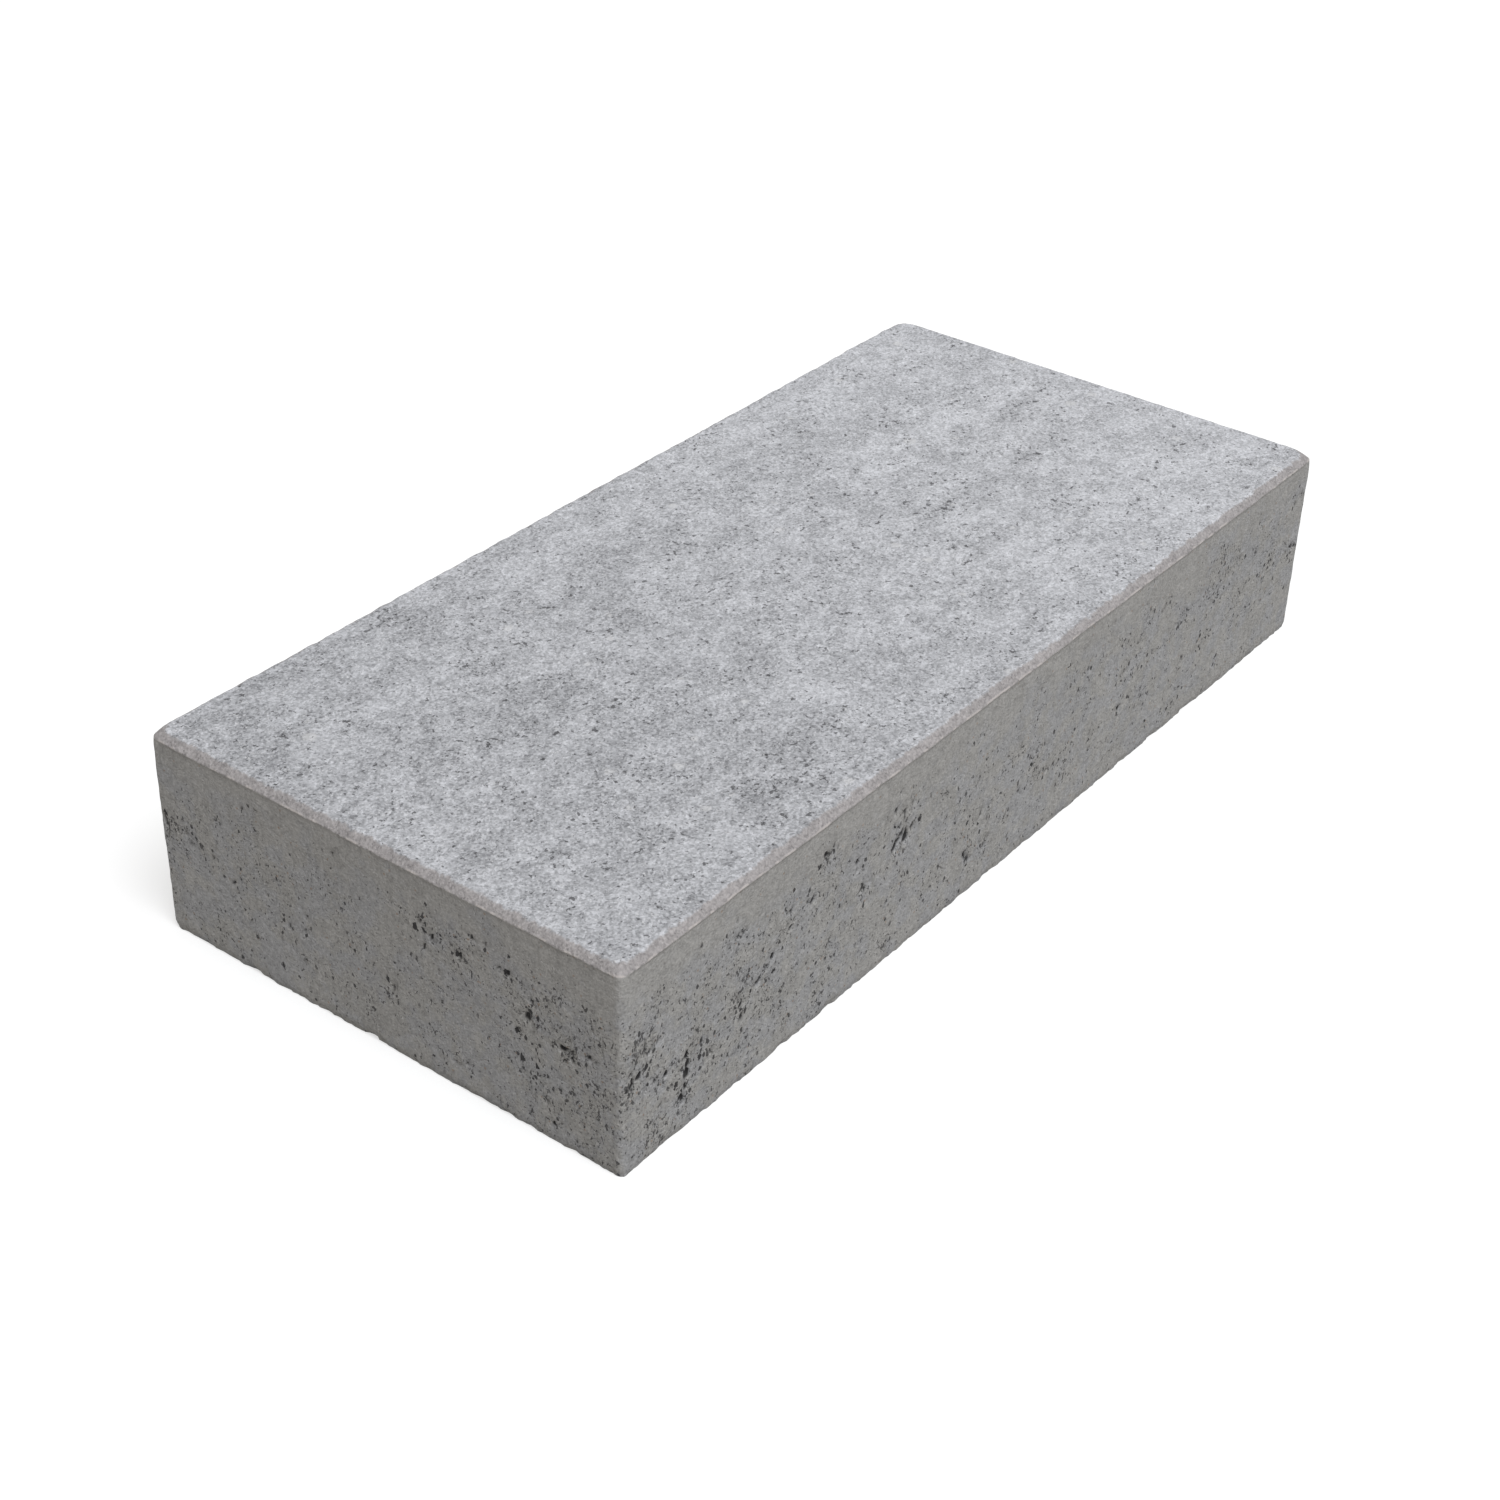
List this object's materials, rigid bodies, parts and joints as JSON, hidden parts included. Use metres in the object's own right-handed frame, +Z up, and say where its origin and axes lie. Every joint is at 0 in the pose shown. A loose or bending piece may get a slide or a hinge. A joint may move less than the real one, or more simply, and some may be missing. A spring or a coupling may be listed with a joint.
{
  "type": "concrete block step",
  "caption": "Solid rectangular precast concrete block with a bevelled tread face, laid as one step of a garden or entrance stair.",
  "frame": {"origin": "centre of the underside, on the level bed the block lies on", "axes": "+X along the block's length, +Y across the tread from the front riser to the back, +Z up through the bevelled tread face"},
  "size_m": [0.75, 0.35, 0.14],
  "materials": {
    "pressed_concrete": "matte"
  },
  "bodies": {
    "root": {"concrete_block": "pressed_concrete"}
  },
  "joints": []
}
